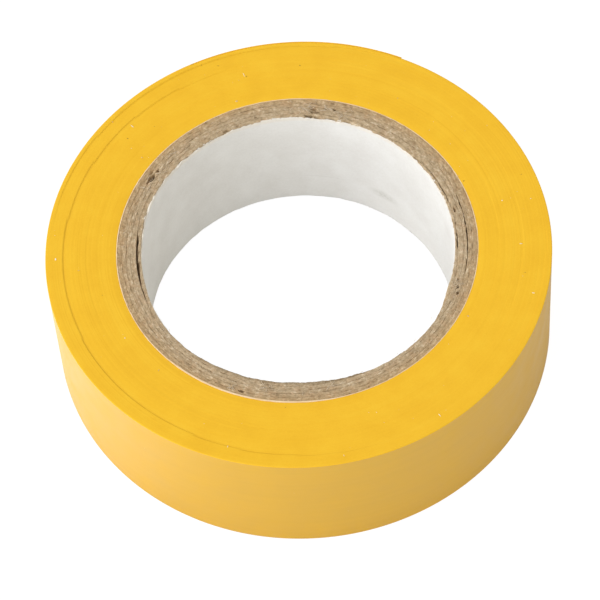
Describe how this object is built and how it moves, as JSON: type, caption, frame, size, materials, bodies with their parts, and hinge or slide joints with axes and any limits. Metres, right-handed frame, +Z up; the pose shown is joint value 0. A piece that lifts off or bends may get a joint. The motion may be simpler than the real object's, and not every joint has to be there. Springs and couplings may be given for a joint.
{
  "type": "electrical tape roll",
  "caption": "Roll of coloured PVC insulating tape wound on a paper-lined kraft board core, with a free end that peels off the outside.",
  "frame": {"origin": "centre of the face that the roll lies on, on the roll's axis", "axes": "+Z up along the roll's axis; +Y points away from the picture's viewer; the free end of the tape is on the +Y side"},
  "size_m": [0.0612, 0.0613, 0.0176],
  "materials": {
    "liner_paper": "matt white paper, faintly grey",
    "kraft_board": "grey-brown recycled board, cut edges fibrous",
    "face_paper": "pale peach paper, thin cut edge",
    "tape_film": "soft PVC film: satin on the outside of the roll, matt on the slit ends"
  },
  "bodies": {
    "roll": {"bore_liner": "liner_paper", "core_board_ply_1": "kraft_board", "core_board_ply_2": "kraft_board", "core_board_ply_3": "kraft_board", "core_board_ply_4": "kraft_board", "core_board_ply_5": "kraft_board", "core_face_paper": "face_paper", "wound_tape": "tape_film"},
    "tail": {"tape_tail": "tape_film"}
  },
  "joints": [
    {"name": "tail_peel", "type": "hinge", "parent": "roll", "child": "tail", "pos_m": [-0.01148, 0.02842, 0.0088], "axis": [0, 0, 1], "range_deg": [0, 110]}
  ]
}
